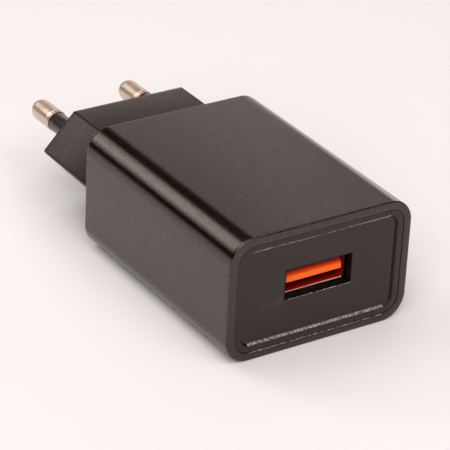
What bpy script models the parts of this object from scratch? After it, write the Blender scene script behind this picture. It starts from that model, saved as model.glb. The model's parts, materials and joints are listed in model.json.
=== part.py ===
"""A compact USB wall charger with a flat, fixed two-pin European plug.

Metres, +Z up. The charger lies on its broad underside, with the USB port at -Y and the pins pointing to +Y.
The origin is on the ground under the middle of the whole charger. Depths are counted from the front face.
"""

import math

import bmesh
import bpy

MM = 0.001

# Clearance between any two separate pieces.
GAP = 0.3 * MM
# How far a cutter runs past the faces that it cuts through.
PAST = 1.0 * MM

# Outer shell.
BODY_WIDTH = 36.2 * MM
BODY_HEIGHT = 23.0 * MM
BODY_LENGTH = 46.4 * MM
BODY_RADIUS = 4.6 * MM
WALL = 1.5 * MM
REAR_WALL = 1.8 * MM
RIM_CHAMFER = 0.25 * MM
REAR_ROUNDING = 0.4 * MM

# Front cap, set flush into the shell's mouth.
CAP_BAND = 1.0 * MM
CAP_RECESS = 0.5 * MM
CAP_SLOPE = 0.45 * MM
CAP_EDGE = 0.12 * MM
CAP_PLATE = 0.9 * MM
CAP_SKIRT = 1.2 * MM
CAP_SKIRT_LENGTH = 6.0 * MM

# Snap ridges on the cap's skirt, in pockets inside the shell.
SNAP_WIDTH = 12.0 * MM
SNAP_LENGTH = 1.2 * MM
SNAP_BITE = 0.3 * MM
SNAP_DEPTH = 4.2 * MM

# USB port in the cap.
PORT_WIDTH = 13.3 * MM
PORT_HEIGHT = 5.5 * MM
PORT_RADIUS = 0.25 * MM
PORT_RISE = 0.6 * MM
PORT_BOSS = 1.6 * MM
PORT_BOSS_DEPTH = 0.6 * MM

# Plug head, a six-sided prism behind the shell.
HEAD_WIDTH = 35.3 * MM
HEAD_FLAT = 22.8 * MM
HEAD_HEIGHT = 13.3 * MM
HEAD_LENGTH = 16.4 * MM
HEAD_RISE = 0.3 * MM
HEAD_ROUNDING = 0.35 * MM
HEAD_FACE_WALL = 4.4 * MM
SPIGOT_HEIGHT = 8.8 * MM
SPIGOT_RADIUS = 1.6 * MM
SPIGOT_WALL = 1.2 * MM
SPIGOT_STANDOFF = 1.0 * MM

# Mains pins and their insulating sleeves.
PIN_SPACING = 18.8 * MM
PIN_LENGTH = 17.0 * MM
PIN_RADIUS = 2.0 * MM
PIN_CORE_RADIUS = 1.1 * MM
PIN_HEAD_RADIUS = 2.3 * MM
PIN_HEAD_LENGTH = 1.0 * MM
PIN_TIP_LENGTH = 1.5 * MM
PIN_TIP_RADIUS = 0.2 * MM
SLEEVE_LENGTH = 9.5 * MM
SLEEVE_RADIUS = 1.9 * MM
SLEEVE_ROOT = 2.8 * MM
TERMINAL_WIDTH = 3.0 * MM
TERMINAL_THICKNESS = 0.4 * MM
TERMINAL_OVERLAP = 2.2 * MM

# Circuit board.
BOARD_THICKNESS = 1.6 * MM
BOARD_SIDE_GAP = 0.6 * MM
LEAD_RADIUS = 0.3 * MM
LEAD_TAIL = 1.1 * MM
LEAD_BITE = 0.5 * MM

# USB receptacle. It sits a little above the middle of the port, and its tongue hangs from the top.
RECEPTACLE_RISE = 0.2 * MM
RECEPTACLE_WIDTH = 12.5 * MM
RECEPTACLE_HEIGHT = 5.12 * MM
RECEPTACLE_LENGTH = 14.0 * MM
RECEPTACLE_METAL = 0.3 * MM
RECEPTACLE_RADIUS = 0.4 * MM
TONGUE_WIDTH = 11.1 * MM
TONGUE_THICKNESS = 2.25 * MM
TONGUE_DROP = 0.95 * MM
TONGUE_SETBACK = 1.4 * MM
TONGUE_CHAMFER = 1.0 * MM
INSULATOR_BLOCK = 5.0 * MM
CONTACT_WIDTH = 1.0 * MM
CONTACT_THICKNESS = 0.25 * MM
CONTACT_PROUD = 0.1 * MM
CONTACT_SETBACK = 0.7 * MM
CONTACT_STAGGER = 1.0 * MM
CONTACT_OFFSETS = (-3.5 * MM, -1.0 * MM, 1.0 * MM, 3.5 * MM)
SHELL_LEG_WIDTH = 1.8 * MM
SHELL_LEG_THICKNESS = 0.24 * MM
SHELL_LEG_DEPTHS = (8.9 * MM, 14.4 * MM)

# Transformer: two E cores round a bobbin, with its winding axis lengthwise.
CORE_WIDTH = 13.2 * MM
CORE_LENGTH = 15.0 * MM
CORE_HEIGHT = 4.5 * MM
CORE_BACK = 2.4 * MM
CORE_OUTER_LEG = 1.9 * MM
CORE_CENTRE_LEG = 3.4 * MM
BOBBIN_WALL = 0.5 * MM
BOBBIN_FLANGE = 0.7 * MM
BOBBIN_HEIGHT = 10.4 * MM
BOBBIN_RAIL_WIDTH = 12.0 * MM
BOBBIN_RAIL_LENGTH = 2.4 * MM
BOBBIN_RAIL_HEIGHT = 0.9 * MM
BOBBIN_RAIL_INSET = 0.1 * MM
BOBBIN_HOLE_RADIUS = 0.1 * MM
WINDING_THICKNESS = 1.4 * MM
TAPE_THICKNESS = 0.2 * MM
TAPE_WIDTH = 3.2 * MM
TRANSFORMER_PIN_RADIUS = 0.35 * MM
TRANSFORMER_PIN_PITCH = 4.5 * MM
TRANSFORMER_PIN_BITE = 0.4 * MM

# Parts on the board's top. Those at its sides stand in from its edge by this margin.
SIDE_MARGIN = 0.6 * MM
CAN_BEVEL = 0.4 * MM
CAN_GROOVE = 0.3 * MM
CAN_CRIMP = 1.4 * MM
# How far out a can's leads stand, as a share of its radius.
CAN_LEAD_SHARE = 0.4
# The row of parts between the transformer and the plug, counted from the board's rear edge.
REAR_ROW_SETBACK = 6.1 * MM
OUTPUT_CAPACITOR_RADIUS = 3.15 * MM
OUTPUT_CAPACITOR_HEIGHT = 10.6 * MM
OUTPUT_CAPACITOR_DEPTH = 11.6 * MM
INPUT_CAPACITOR_RADIUS = 4.0 * MM
INPUT_CAPACITOR_HEIGHT = 11.2 * MM
INPUT_CAPACITOR_SETBACK = 7.0 * MM
SUPPLY_CAPACITOR_RADIUS = 2.0 * MM
SUPPLY_CAPACITOR_HEIGHT = 7.0 * MM
SUPPLY_CAPACITOR_SETBACK = 13.4 * MM
DISC_RADIUS = 3.4 * MM
DISC_THICKNESS = 2.4 * MM
DISC_BEVEL = 0.6 * MM
DISC_DEPTH = 23.9 * MM
DISC_LEAD_SPACING = 5.0 * MM
OPTOCOUPLER_SIZE = (6.4 * MM, 4.6 * MM, 3.4 * MM)
OPTOCOUPLER_DEPTH = 24.0 * MM
BRIDGE_SIZE = (4.7 * MM, 3.3 * MM, 2.5 * MM)
CHIP_BEVEL = 0.25 * MM
BRIDGE_SETBACK = 1.9 * MM
INDUCTOR_RADIUS = 2.2 * MM
INDUCTOR_HEIGHT = 6.5 * MM
INDUCTOR_WAIST = 1.0 * MM
INDUCTOR_FLANGE = 0.9 * MM
INDUCTOR_OFFSET = -3.4 * MM
INDUCTOR_LEAD_SPACING = 2.64 * MM
FUSE_RADIUS = 1.6 * MM
FUSE_HEIGHT = 8.5 * MM
FUSE_SHOULDER = 0.6 * MM
FUSE_OFFSET = 3.2 * MM
BARRIER_THICKNESS = 0.4 * MM
BARRIER_DEPTH = 17.9 * MM
BARRIER_TOP_GAP = 0.7 * MM
BARRIER_REAR_GAP = 0.5 * MM

# Parts under the board. Their sizes are width, length and height.
CHIP_SIZE = (4.9 * MM, 3.9 * MM, 1.5 * MM)
DIODE_SIZE = (4.3 * MM, 2.6 * MM, 2.0 * MM)
CHIP_RESISTOR_SIZE = (3.2 * MM, 1.6 * MM, 0.6 * MM)
CHIP_CAPACITOR_SIZE = (3.2 * MM, 1.6 * MM, 1.2 * MM)
SMALL_PART_BEVEL = 0.15 * MM
CONTROLLER_OFFSET = 6.6 * MM
RECTIFIER_DEPTH = 8.7 * MM
DIODE_BACKSET = 4.0 * MM
# Places of the resistors and capacitors, counted from under the middle of the transformer.
CHIP_RESISTOR_OFFSET = -7.4 * MM
CHIP_RESISTOR_STEPS = (0.4 * MM, 2.8 * MM, 5.2 * MM)
CHIP_CAPACITOR_OFFSETS = (-1.0 * MM, 4.2 * MM)
CHIP_CAPACITOR_ADVANCE = 2.6 * MM
SHEET_THICKNESS = 0.3 * MM
SHEET_MARGIN = 2.5 * MM
SHEET_LIFT = 0.9 * MM

CORNER_STEPS = 8
ROUND_STEPS = 20
LEAD_STEPS = 8
ARC_STEPS = 3
NOSE_STEPS = 5

# Places worked out from the sizes above.
FRONT = -(BODY_LENGTH + HEAD_LENGTH + PIN_LENGTH) / 2
BODY_REAR = FRONT + BODY_LENGTH
HEAD_REAR = BODY_REAR + HEAD_LENGTH
PLATE_FRONT = FRONT + CAP_RECESS
PLATE_REAR = PLATE_FRONT + CAP_PLATE
PORT_REAR = PLATE_REAR + PORT_BOSS_DEPTH
PORT_Z = BODY_HEIGHT / 2 + PORT_RISE
AXIS_Z = BODY_HEIGHT / 2 + HEAD_RISE
SPIGOT_WIDTH = PIN_SPACING + 2 * (PIN_HEAD_RADIUS + GAP + SPIGOT_WALL)
SPIGOT_FRONT = BODY_REAR - REAR_WALL - SPIGOT_STANDOFF
CAVITY_REAR = HEAD_REAR - HEAD_FACE_WALL
RECEPTACLE_FRONT = PORT_REAR + GAP
RECEPTACLE_REAR = RECEPTACLE_FRONT + RECEPTACLE_LENGTH
RECEPTACLE_Z = PORT_Z + RECEPTACLE_RISE
BOARD_HALF = BODY_WIDTH / 2 - WALL - BOARD_SIDE_GAP
BOARD_FRONT = FRONT + CAP_SKIRT_LENGTH + GAP
BOARD_REAR = SPIGOT_FRONT - GAP
BOARD_TOP = RECEPTACLE_Z - RECEPTACLE_HEIGHT / 2 - RECEPTACLE_METAL - GAP
BOARD_BOTTOM = BOARD_TOP - BOARD_THICKNESS
PART_BASE = BOARD_TOP + GAP
LEAD_BOTTOM = BOARD_BOTTOM - LEAD_TAIL
TONGUE_TOP = PORT_Z + PORT_HEIGHT / 2 - TONGUE_DROP
TONGUE_BOTTOM = TONGUE_TOP - TONGUE_THICKNESS
TONGUE_FRONT = PLATE_FRONT + TONGUE_SETBACK
CONTACT_LEG = RECEPTACLE_REAR + GAP
BARRIER_Y = FRONT + BARRIER_DEPTH
TRANSFORMER_FRONT = BARRIER_Y + BARRIER_THICKNESS / 2 + BARRIER_REAR_GAP
TRANSFORMER_Y = TRANSFORMER_FRONT + TAPE_THICKNESS + GAP + CORE_LENGTH / 2
TRANSFORMER_Z = PART_BASE + BOBBIN_RAIL_HEIGHT + BOBBIN_HEIGHT / 2
REAR_ROW_Y = BOARD_REAR - REAR_ROW_SETBACK
PIN_XS = {"left": -PIN_SPACING / 2, "right": PIN_SPACING / 2}


# Materials.


def material(name, colour, roughness, metallic=0.0):
    made = bpy.data.materials.get(name)
    if made:
        return made
    made = bpy.data.materials.new(name)
    made.use_nodes = True
    shader = made.node_tree.nodes["Principled BSDF"]
    shader.inputs["Base Color"].default_value = (*colour, 1.0)
    shader.inputs["Roughness"].default_value = roughness
    shader.inputs["Metallic"].default_value = metallic
    return made


def shell_plastic():
    return material("shell_plastic", (0.022, 0.019, 0.018), 0.42)


def cap_plastic():
    return material("cap_plastic", (0.020, 0.018, 0.018), 0.5)


def head_plastic():
    return material("head_plastic", (0.024, 0.021, 0.021), 0.55)


def sleeve_plastic():
    return material("sleeve_plastic", (0.012, 0.011, 0.011), 0.3)


def pin_nickel():
    return material("pin_nickel", (0.66, 0.6, 0.54), 0.25, 1.0)


def usb_steel():
    return material("usb_steel", (0.6, 0.58, 0.55), 0.3, 1.0)


def usb_insulator():
    return material("usb_insulator", (0.95, 0.13, 0.02), 0.35)


def contact_gold():
    return material("contact_gold", (0.85, 0.62, 0.3), 0.25, 1.0)


def terminal_brass():
    return material("terminal_brass", (0.72, 0.55, 0.28), 0.35, 1.0)


def board_laminate():
    return material("board_laminate", (0.04, 0.2, 0.07), 0.5)


def ferrite():
    return material("ferrite", (0.06, 0.06, 0.065), 0.6)


def bobbin_plastic():
    return material("bobbin_plastic", (0.03, 0.03, 0.03), 0.5)


def copper_wire():
    return material("copper_wire", (0.65, 0.25, 0.1), 0.35, 1.0)


def tape_film():
    return material("tape_film", (0.8, 0.6, 0.08), 0.35)


def can_sleeve():
    return material("can_sleeve", (0.03, 0.04, 0.09), 0.35)


def disc_ceramic():
    return material("disc_ceramic", (0.05, 0.18, 0.45), 0.4)


def chip_plastic():
    return material("chip_plastic", (0.02, 0.02, 0.02), 0.5)


def fuse_coat():
    return material("fuse_coat", (0.25, 0.4, 0.3), 0.5)


def tinned_metal():
    return material("tinned_metal", (0.6, 0.6, 0.58), 0.35, 1.0)


def chip_ceramic():
    return material("chip_ceramic", (0.4, 0.3, 0.2), 0.5)


def insulation_film():
    return material("insulation_film", (0.75, 0.75, 0.72), 0.4)


# Outlines, as lists of (across, up) points.


def rounded_rect(width, height, radius):
    """A rectangle's outline with round corners, always with the same number of points."""
    radius = min(radius, width / 2, height / 2)
    points = []
    for quarter, (side, level) in enumerate(((1, 1), (-1, 1), (-1, -1), (1, -1))):
        for step in range(CORNER_STEPS + 1):
            angle = math.radians(90 * (quarter + step / CORNER_STEPS))
            across = side * (width / 2 - radius) + radius * math.cos(angle)
            up = level * (height / 2 - radius) + radius * math.sin(angle)
            points.append((across, up))
    return points


def body_outline(inset):
    """The body's outline, moved inwards by inset."""
    return rounded_rect(BODY_WIDTH - 2 * inset, BODY_HEIGHT - 2 * inset, BODY_RADIUS - inset)


def circle(radius, steps=ROUND_STEPS):
    turns = [2 * math.pi * step / steps for step in range(steps)]
    return [(radius * math.cos(turn), radius * math.sin(turn)) for turn in turns]


def lengthwise(outline, y, z=0.0):
    """An outline stood across the Y axis at y, raised by z."""
    return [(across, y, up + z) for across, up in outline]


def level(outline, z):
    """An outline laid flat at height z."""
    return [(across, up, z) for across, up in outline]


# Solids.


def add_object(name, bm, finish, location=(0, 0, 0)):
    bmesh.ops.recalc_face_normals(bm, faces=bm.faces)
    mesh = bpy.data.meshes.new(name)
    bm.to_mesh(mesh)
    bm.free()
    mesh.materials.append(finish)
    mesh.shade_smooth()
    mesh.set_sharp_from_angle(angle=math.radians(32))
    obj = bpy.data.objects.new(name, mesh)
    obj.location = location
    bpy.context.scene.collection.objects.link(obj)
    return obj


def skin(bm, rings, around):
    """Joins each ring to the next with quads. A solid that runs around closes on its first ring."""
    loops = [[bm.verts.new(point) for point in ring] for ring in rings]
    pairs = list(zip(loops, loops[1:]))
    if around:
        pairs.append((loops[-1], loops[0]))
    for one, other in pairs:
        for index in range(len(one)):
            after = (index + 1) % len(one)
            bm.faces.new((one[index], one[after], other[after], other[index]))
    if not around:
        bm.faces.new(loops[0])
        bm.faces.new(loops[-1])


def loft(name, rings, finish, location=(0, 0, 0), around=False):
    """A solid through a row of rings: a bar with two ends or, when it runs around, a tube."""
    bm = bmesh.new()
    skin(bm, rings, around)
    return add_object(name, bm, finish, location)


def block(name, low, high, finish, rounding=0.0):
    """A box between two corners, with an optional bevel on its edges."""
    bm = bmesh.new()
    bmesh.ops.create_cube(bm, size=1.0)
    size = [high[axis] - low[axis] for axis in range(3)]
    bmesh.ops.scale(bm, vec=size, verts=bm.verts)
    if rounding:
        bmesh.ops.bevel(bm, geom=bm.edges, offset=rounding, segments=1, affect="EDGES")
    centre = [(high[axis] + low[axis]) / 2 for axis in range(3)]
    return add_object(name, bm, finish, centre)


def plate(name, outline, low_z, high_z, finish, location=(0, 0, 0)):
    """A flat outline extruded upwards."""
    return loft(name, [level(outline, low_z), level(outline, high_z)], finish, location)


def strip(name, profile, width, finish, location=(0, 0, 0)):
    """A bent strip: a (y, z) profile given a width along X."""
    rings = [[(side * width / 2, y, z) for y, z in profile] for side in (-1, 1)]
    return loft(name, rings, finish, location)


def posts(name, places, radius, low_z, high_z, finish):
    """Several upright round posts in one object, used as a cutter or as leads."""
    bm = bmesh.new()
    for x, y in places:
        rings = [
            [(x + across, y + up, z) for across, up in circle(radius, LEAD_STEPS)] for z in (low_z, high_z)
        ]
        skin(bm, rings, around=False)
    return add_object(name, bm, finish)


def boxes(name, corners, finish):
    """Several boxes in one object, each given by its low and high corner."""
    bm = bmesh.new()
    for low, high in corners:
        outline = [(low[0], low[1]), (high[0], low[1]), (high[0], high[1]), (low[0], high[1])]
        skin(bm, [level(outline, low[2]), level(outline, high[2])], around=False)
    return add_object(name, bm, finish)


def combine(obj, tool, operation):
    """Adds a Boolean. Its tool stays in the scene as a hidden helper."""
    tool.hide_render = True
    tool.display_type = "WIRE"
    modifier = obj.modifiers.new(tool.name, "BOOLEAN")
    modifier.operation = operation
    modifier.solver = "EXACT"
    modifier.object = tool
    return obj


def cut(obj, tool):
    return combine(obj, tool, "DIFFERENCE")


def join(obj, tool):
    return combine(obj, tool, "UNION")


# Casing.


def snap_corners(width, length, low_reach, high_reach):
    """Boxes over and under the cap's skirt, between two distances from the shell's inner wall."""
    middle = FRONT + SNAP_DEPTH
    wall_top = BODY_HEIGHT - WALL
    corners = []
    for low_z, high_z in (
        (wall_top - low_reach, wall_top + high_reach),
        (WALL - high_reach, WALL + low_reach),
    ):
        corners.append(((-width / 2, middle - length / 2, low_z), (width / 2, middle + length / 2, high_z)))
    return corners


def make_body_shell():
    """A tube open at the front, with a rear wall that the plug head's spigot passes through."""
    middle = BODY_HEIGHT / 2
    rings = [
        lengthwise(body_outline(RIM_CHAMFER), FRONT, middle),
        lengthwise(body_outline(0), FRONT + RIM_CHAMFER, middle),
    ]
    for step in range(ARC_STEPS + 1):
        angle = math.pi / 2 * step / ARC_STEPS
        inset = REAR_ROUNDING * (1 - math.cos(angle))
        y = BODY_REAR - REAR_ROUNDING * (1 - math.sin(angle))
        rings.append(lengthwise(body_outline(inset), y, middle))
    opening = rounded_rect(SPIGOT_WIDTH + 2 * GAP, SPIGOT_HEIGHT + 2 * GAP, SPIGOT_RADIUS + GAP)
    rings.append(lengthwise(opening, BODY_REAR, AXIS_Z))
    rings.append(lengthwise(opening, BODY_REAR - REAR_WALL, AXIS_Z))
    rings.append(lengthwise(body_outline(WALL), BODY_REAR - REAR_WALL, middle))
    rings.append(lengthwise(body_outline(WALL), FRONT + CAP_EDGE, middle))
    rings.append(lengthwise(body_outline(WALL - CAP_EDGE), FRONT, middle))
    shell = loft("body_shell", rings, shell_plastic(), around=True)
    pockets = snap_corners(SNAP_WIDTH + 2 * GAP, SNAP_LENGTH + 2 * GAP, GAP / 2, SNAP_BITE + GAP)
    return cut(shell, boxes("snap_pockets", pockets, shell_plastic()))


def port_outline(margin):
    """The USB port's outline, grown by margin."""
    return rounded_rect(PORT_WIDTH + 2 * margin, PORT_HEIGHT + 2 * margin, PORT_RADIUS + margin)


def make_front_cap():
    """A plate in the shell's mouth: a flat band, a sloped step down to the face, the port and a skirt."""
    middle = BODY_HEIGHT / 2
    outer = WALL + GAP
    skirt_inner = outer + CAP_SKIRT
    skirt_rear = FRONT + CAP_SKIRT_LENGTH
    rings = [
        lengthwise(body_outline(outer + CAP_EDGE), FRONT, middle),
        lengthwise(body_outline(outer), FRONT + CAP_EDGE, middle),
        lengthwise(body_outline(outer), skirt_rear, middle),
        lengthwise(body_outline(skirt_inner), skirt_rear, middle),
        lengthwise(body_outline(skirt_inner), PLATE_REAR, middle),
        lengthwise(port_outline(PORT_BOSS), PLATE_REAR, PORT_Z),
        lengthwise(port_outline(PORT_BOSS), PORT_REAR, PORT_Z),
        lengthwise(port_outline(0), PORT_REAR, PORT_Z),
        lengthwise(port_outline(0), PLATE_FRONT, PORT_Z),
        lengthwise(body_outline(outer + CAP_BAND + CAP_SLOPE), PLATE_FRONT, middle),
        lengthwise(body_outline(outer + CAP_BAND), FRONT, middle),
    ]
    cap = loft("front_cap", rings, cap_plastic(), around=True)
    ridges = snap_corners(SNAP_WIDTH, SNAP_LENGTH, GAP + CAP_SKIRT / 2, SNAP_BITE)
    return join(cap, boxes("snap_ridges", ridges, cap_plastic()))


def make_plug_head():
    """The six-sided head, its spigot into the shell, a wiring cavity and stepped bores for the pins."""
    outline = [
        (HEAD_FLAT / 2, HEAD_HEIGHT / 2),
        (-HEAD_FLAT / 2, HEAD_HEIGHT / 2),
        (-HEAD_WIDTH / 2, 0),
        (-HEAD_FLAT / 2, -HEAD_HEIGHT / 2),
        (HEAD_FLAT / 2, -HEAD_HEIGHT / 2),
        (HEAD_WIDTH / 2, 0),
    ]
    head_front = BODY_REAR + GAP
    rings = [lengthwise(outline, head_front, AXIS_Z), lengthwise(outline, HEAD_REAR, AXIS_Z)]
    head = loft("plug_head", rings, head_plastic())
    rounding = head.modifiers.new("rounding", "BEVEL")
    rounding.width = HEAD_ROUNDING
    rounding.segments = 2
    rounding.limit_method = "ANGLE"
    spigot = rounded_rect(SPIGOT_WIDTH, SPIGOT_HEIGHT, SPIGOT_RADIUS)
    spigot_rings = [
        lengthwise(spigot, SPIGOT_FRONT, AXIS_Z),
        lengthwise(spigot, head_front + PAST, AXIS_Z),
    ]
    join(head, loft("head_spigot", spigot_rings, head_plastic()))
    cavity = rounded_rect(
        SPIGOT_WIDTH - 2 * SPIGOT_WALL, SPIGOT_HEIGHT - 2 * SPIGOT_WALL, SPIGOT_RADIUS - SPIGOT_WALL
    )
    cavity_rings = [
        lengthwise(cavity, SPIGOT_FRONT - PAST, AXIS_Z),
        lengthwise(cavity, CAVITY_REAR, AXIS_Z),
    ]
    cut(head, loft("head_cavity", cavity_rings, head_plastic()))
    step_y = HEAD_REAR - SLEEVE_ROOT - GAP
    for side, x in PIN_XS.items():
        bore = (
            (PIN_CORE_RADIUS + GAP, CAVITY_REAR - PAST),
            (PIN_CORE_RADIUS + GAP, step_y),
            (SLEEVE_RADIUS + GAP, step_y),
            (SLEEVE_RADIUS + GAP, HEAD_REAR + PAST),
        )
        rings = [lengthwise(circle(radius), y) for radius, y in bore]
        cut(head, loft(f"pin_bore_{side}", rings, head_plastic(), (x, 0, AXIS_Z)))
    return head


# Mains pins.


def make_pin(side, x):
    """A round pin: a head in the wiring cavity, a thin core under the sleeve and a bare round-nosed end."""
    head_rear = CAVITY_REAR - GAP
    bare_front = HEAD_REAR + SLEEVE_LENGTH + GAP
    tip = HEAD_REAR + PIN_LENGTH
    stations = [
        (PIN_HEAD_RADIUS, head_rear - PIN_HEAD_LENGTH),
        (PIN_HEAD_RADIUS, head_rear),
        (PIN_CORE_RADIUS, head_rear),
        (PIN_CORE_RADIUS, bare_front),
        (PIN_RADIUS, bare_front),
    ]
    for step in range(NOSE_STEPS):
        angle = math.pi / 2 * step / NOSE_STEPS
        y = tip - PIN_TIP_LENGTH * (1 - math.sin(angle))
        stations.append((PIN_RADIUS * math.cos(angle), y))
    stations.append((PIN_TIP_RADIUS, tip))
    rings = [lengthwise(circle(radius), y) for radius, y in stations]
    return loft(f"pin_{side}", rings, pin_nickel(), (x, 0, AXIS_Z))


def make_pin_sleeve(side, x):
    """The insulating tube round the pin's core, rooted in the head."""
    start = HEAD_REAR - SLEEVE_ROOT
    end = HEAD_REAR + SLEEVE_LENGTH
    inner = PIN_CORE_RADIUS + GAP
    stations = ((SLEEVE_RADIUS, start), (SLEEVE_RADIUS, end), (inner, end), (inner, start))
    rings = [lengthwise(circle(radius), y) for radius, y in stations]
    return loft(f"pin_sleeve_{side}", rings, sleeve_plastic(), (x, 0, AXIS_Z), around=True)


def make_pin_terminal(side, x):
    """A brass strip from the pin's inner end down to the board."""
    tab_rear = CAVITY_REAR - GAP - PIN_HEAD_LENGTH - GAP
    tab_front = tab_rear - TERMINAL_THICKNESS
    landing = BOARD_REAR - TERMINAL_OVERLAP
    low = PART_BASE
    profile = [
        (landing, low),
        (tab_rear, low),
        (tab_rear, AXIS_Z + PIN_CORE_RADIUS),
        (tab_front, AXIS_Z + PIN_CORE_RADIUS),
        (tab_front, low + TERMINAL_THICKNESS),
        (landing, low + TERMINAL_THICKNESS),
    ]
    return strip(f"pin_terminal_{side}", profile, TERMINAL_WIDTH, terminal_brass(), (x, 0, 0))


# USB receptacle.


def shell_leg_corners(margin):
    """Boxes for the receptacle shell's four legs, or for their slots when grown by margin."""
    x = (RECEPTACLE_WIDTH + RECEPTACLE_METAL) / 2
    half_x = SHELL_LEG_THICKNESS / 2 + margin
    half_y = SHELL_LEG_WIDTH / 2 + margin
    top = RECEPTACLE_Z - RECEPTACLE_HEIGHT / 2 + RECEPTACLE_RADIUS + RECEPTACLE_METAL
    corners = []
    for side in (-1, 1):
        for depth in SHELL_LEG_DEPTHS:
            y = FRONT + depth
            corners.append(
                (
                    (side * x - half_x, y - half_y, LEAD_BOTTOM - margin),
                    (side * x + half_x, y + half_y, top),
                )
            )
    return corners


def make_usb_shell():
    """The receptacle's metal tube, with four legs through the board."""
    inner = rounded_rect(RECEPTACLE_WIDTH, RECEPTACLE_HEIGHT, RECEPTACLE_RADIUS)
    grown = 2 * RECEPTACLE_METAL
    outer = rounded_rect(
        RECEPTACLE_WIDTH + grown, RECEPTACLE_HEIGHT + grown, RECEPTACLE_RADIUS + RECEPTACLE_METAL
    )
    rings = [
        lengthwise(outer, RECEPTACLE_FRONT, RECEPTACLE_Z),
        lengthwise(outer, RECEPTACLE_REAR, RECEPTACLE_Z),
        lengthwise(inner, RECEPTACLE_REAR, RECEPTACLE_Z),
        lengthwise(inner, RECEPTACLE_FRONT, RECEPTACLE_Z),
    ]
    shell = loft("usb_shell", rings, usb_steel(), around=True)
    return join(shell, boxes("usb_shell_legs", shell_leg_corners(0), usb_steel()))


def make_usb_insulator():
    """The moulded block at the back of the receptacle and the tongue that reaches forward from it."""
    half_width = RECEPTACLE_WIDTH / 2 - GAP
    half_height = RECEPTACLE_HEIGHT / 2 - GAP
    rear = RECEPTACLE_REAR - GAP
    front = rear - INSULATOR_BLOCK
    insulator = block(
        "usb_insulator",
        (-half_width, front, RECEPTACLE_Z - half_height),
        (half_width, rear, RECEPTACLE_Z + half_height),
        usb_insulator(),
    )
    half_tongue = TONGUE_WIDTH / 2
    shoulder = TONGUE_FRONT + TONGUE_CHAMFER
    outline = [
        (-half_tongue + TONGUE_CHAMFER, TONGUE_FRONT),
        (half_tongue - TONGUE_CHAMFER, TONGUE_FRONT),
        (half_tongue, shoulder),
        (half_tongue, front + PAST),
        (-half_tongue, front + PAST),
        (-half_tongue, shoulder),
    ]
    join(insulator, plate("usb_tongue", outline, TONGUE_BOTTOM, TONGUE_TOP, usb_insulator()))
    half_groove = CONTACT_WIDTH / 2 + GAP
    groove_top = TONGUE_BOTTOM - CONTACT_PROUD + CONTACT_THICKNESS + GAP
    grooves = []
    for index, x in enumerate(CONTACT_OFFSETS):
        groove_front = contact_front(index) - GAP
        # Behind the tongue, the same cut leaves room under the contact through the block.
        groove_bottom = TONGUE_BOTTOM - CONTACT_PROUD - GAP
        grooves.append(
            ((x - half_groove, groove_front, groove_bottom), (x + half_groove, rear + PAST, groove_top))
        )
    return cut(insulator, boxes("contact_grooves", grooves, usb_insulator()))


def contact_front(index):
    """The two outer contacts carry the supply and reach further forward than the inner two."""
    stagger = CONTACT_STAGGER if index in (1, 2) else 0.0
    return TONGUE_FRONT + CONTACT_SETBACK + stagger


def make_usb_contact(index, x):
    """A spring strip along the tongue's underside that turns down behind the block into the board."""
    low = TONGUE_BOTTOM - CONTACT_PROUD
    high = low + CONTACT_THICKNESS
    leg_rear = CONTACT_LEG + CONTACT_THICKNESS
    profile = [
        (contact_front(index), low),
        (CONTACT_LEG, low),
        (CONTACT_LEG, LEAD_BOTTOM),
        (leg_rear, LEAD_BOTTOM),
        (leg_rear, high),
        (contact_front(index), high),
    ]
    return strip(f"usb_contact_{index + 1}", profile, CONTACT_WIDTH, contact_gold(), (x, 0, 0))


def contact_slot_corners():
    """Board slots for the legs of the USB contacts."""
    half_x = CONTACT_WIDTH / 2 + GAP
    return [
        (
            (x - half_x, CONTACT_LEG - GAP, BOARD_BOTTOM - PAST),
            (x + half_x, CONTACT_LEG + CONTACT_THICKNESS + GAP, BOARD_TOP + PAST),
        )
        for x in CONTACT_OFFSETS
    ]


# Transformer.


def make_transformer_core(name, facing):
    """One ferrite E. Facing +1 is the front half, whose legs point to the rear."""
    half_width = CORE_WIDTH / 2
    half_centre = CORE_CENTRE_LEG / 2
    window = half_width - CORE_OUTER_LEG
    back = -CORE_LENGTH / 2
    root = back + CORE_BACK
    end = -GAP / 2
    outline = [
        (-half_width, back),
        (half_width, back),
        (half_width, end),
        (window, end),
        (window, root),
        (half_centre, root),
        (half_centre, end),
        (-half_centre, end),
        (-half_centre, root),
        (-window, root),
        (-window, end),
        (-half_width, end),
    ]
    outline = [(x, facing * y) for x, y in outline]
    place = (0, TRANSFORMER_Y, TRANSFORMER_Z)
    return plate(name, outline, -CORE_HEIGHT / 2, CORE_HEIGHT / 2, ferrite(), place)


def transformer_pin_places():
    """The six pins stand in two rows, one in each rail of the bobbin."""
    row = CORE_LENGTH / 2 - CORE_BACK - GAP - BOBBIN_FLANGE + BOBBIN_RAIL_LENGTH / 2
    middle = TRANSFORMER_Y
    return [(x * TRANSFORMER_PIN_PITCH, middle + side * row) for side in (-1, 1) for x in (-1, 0, 1)]


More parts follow.
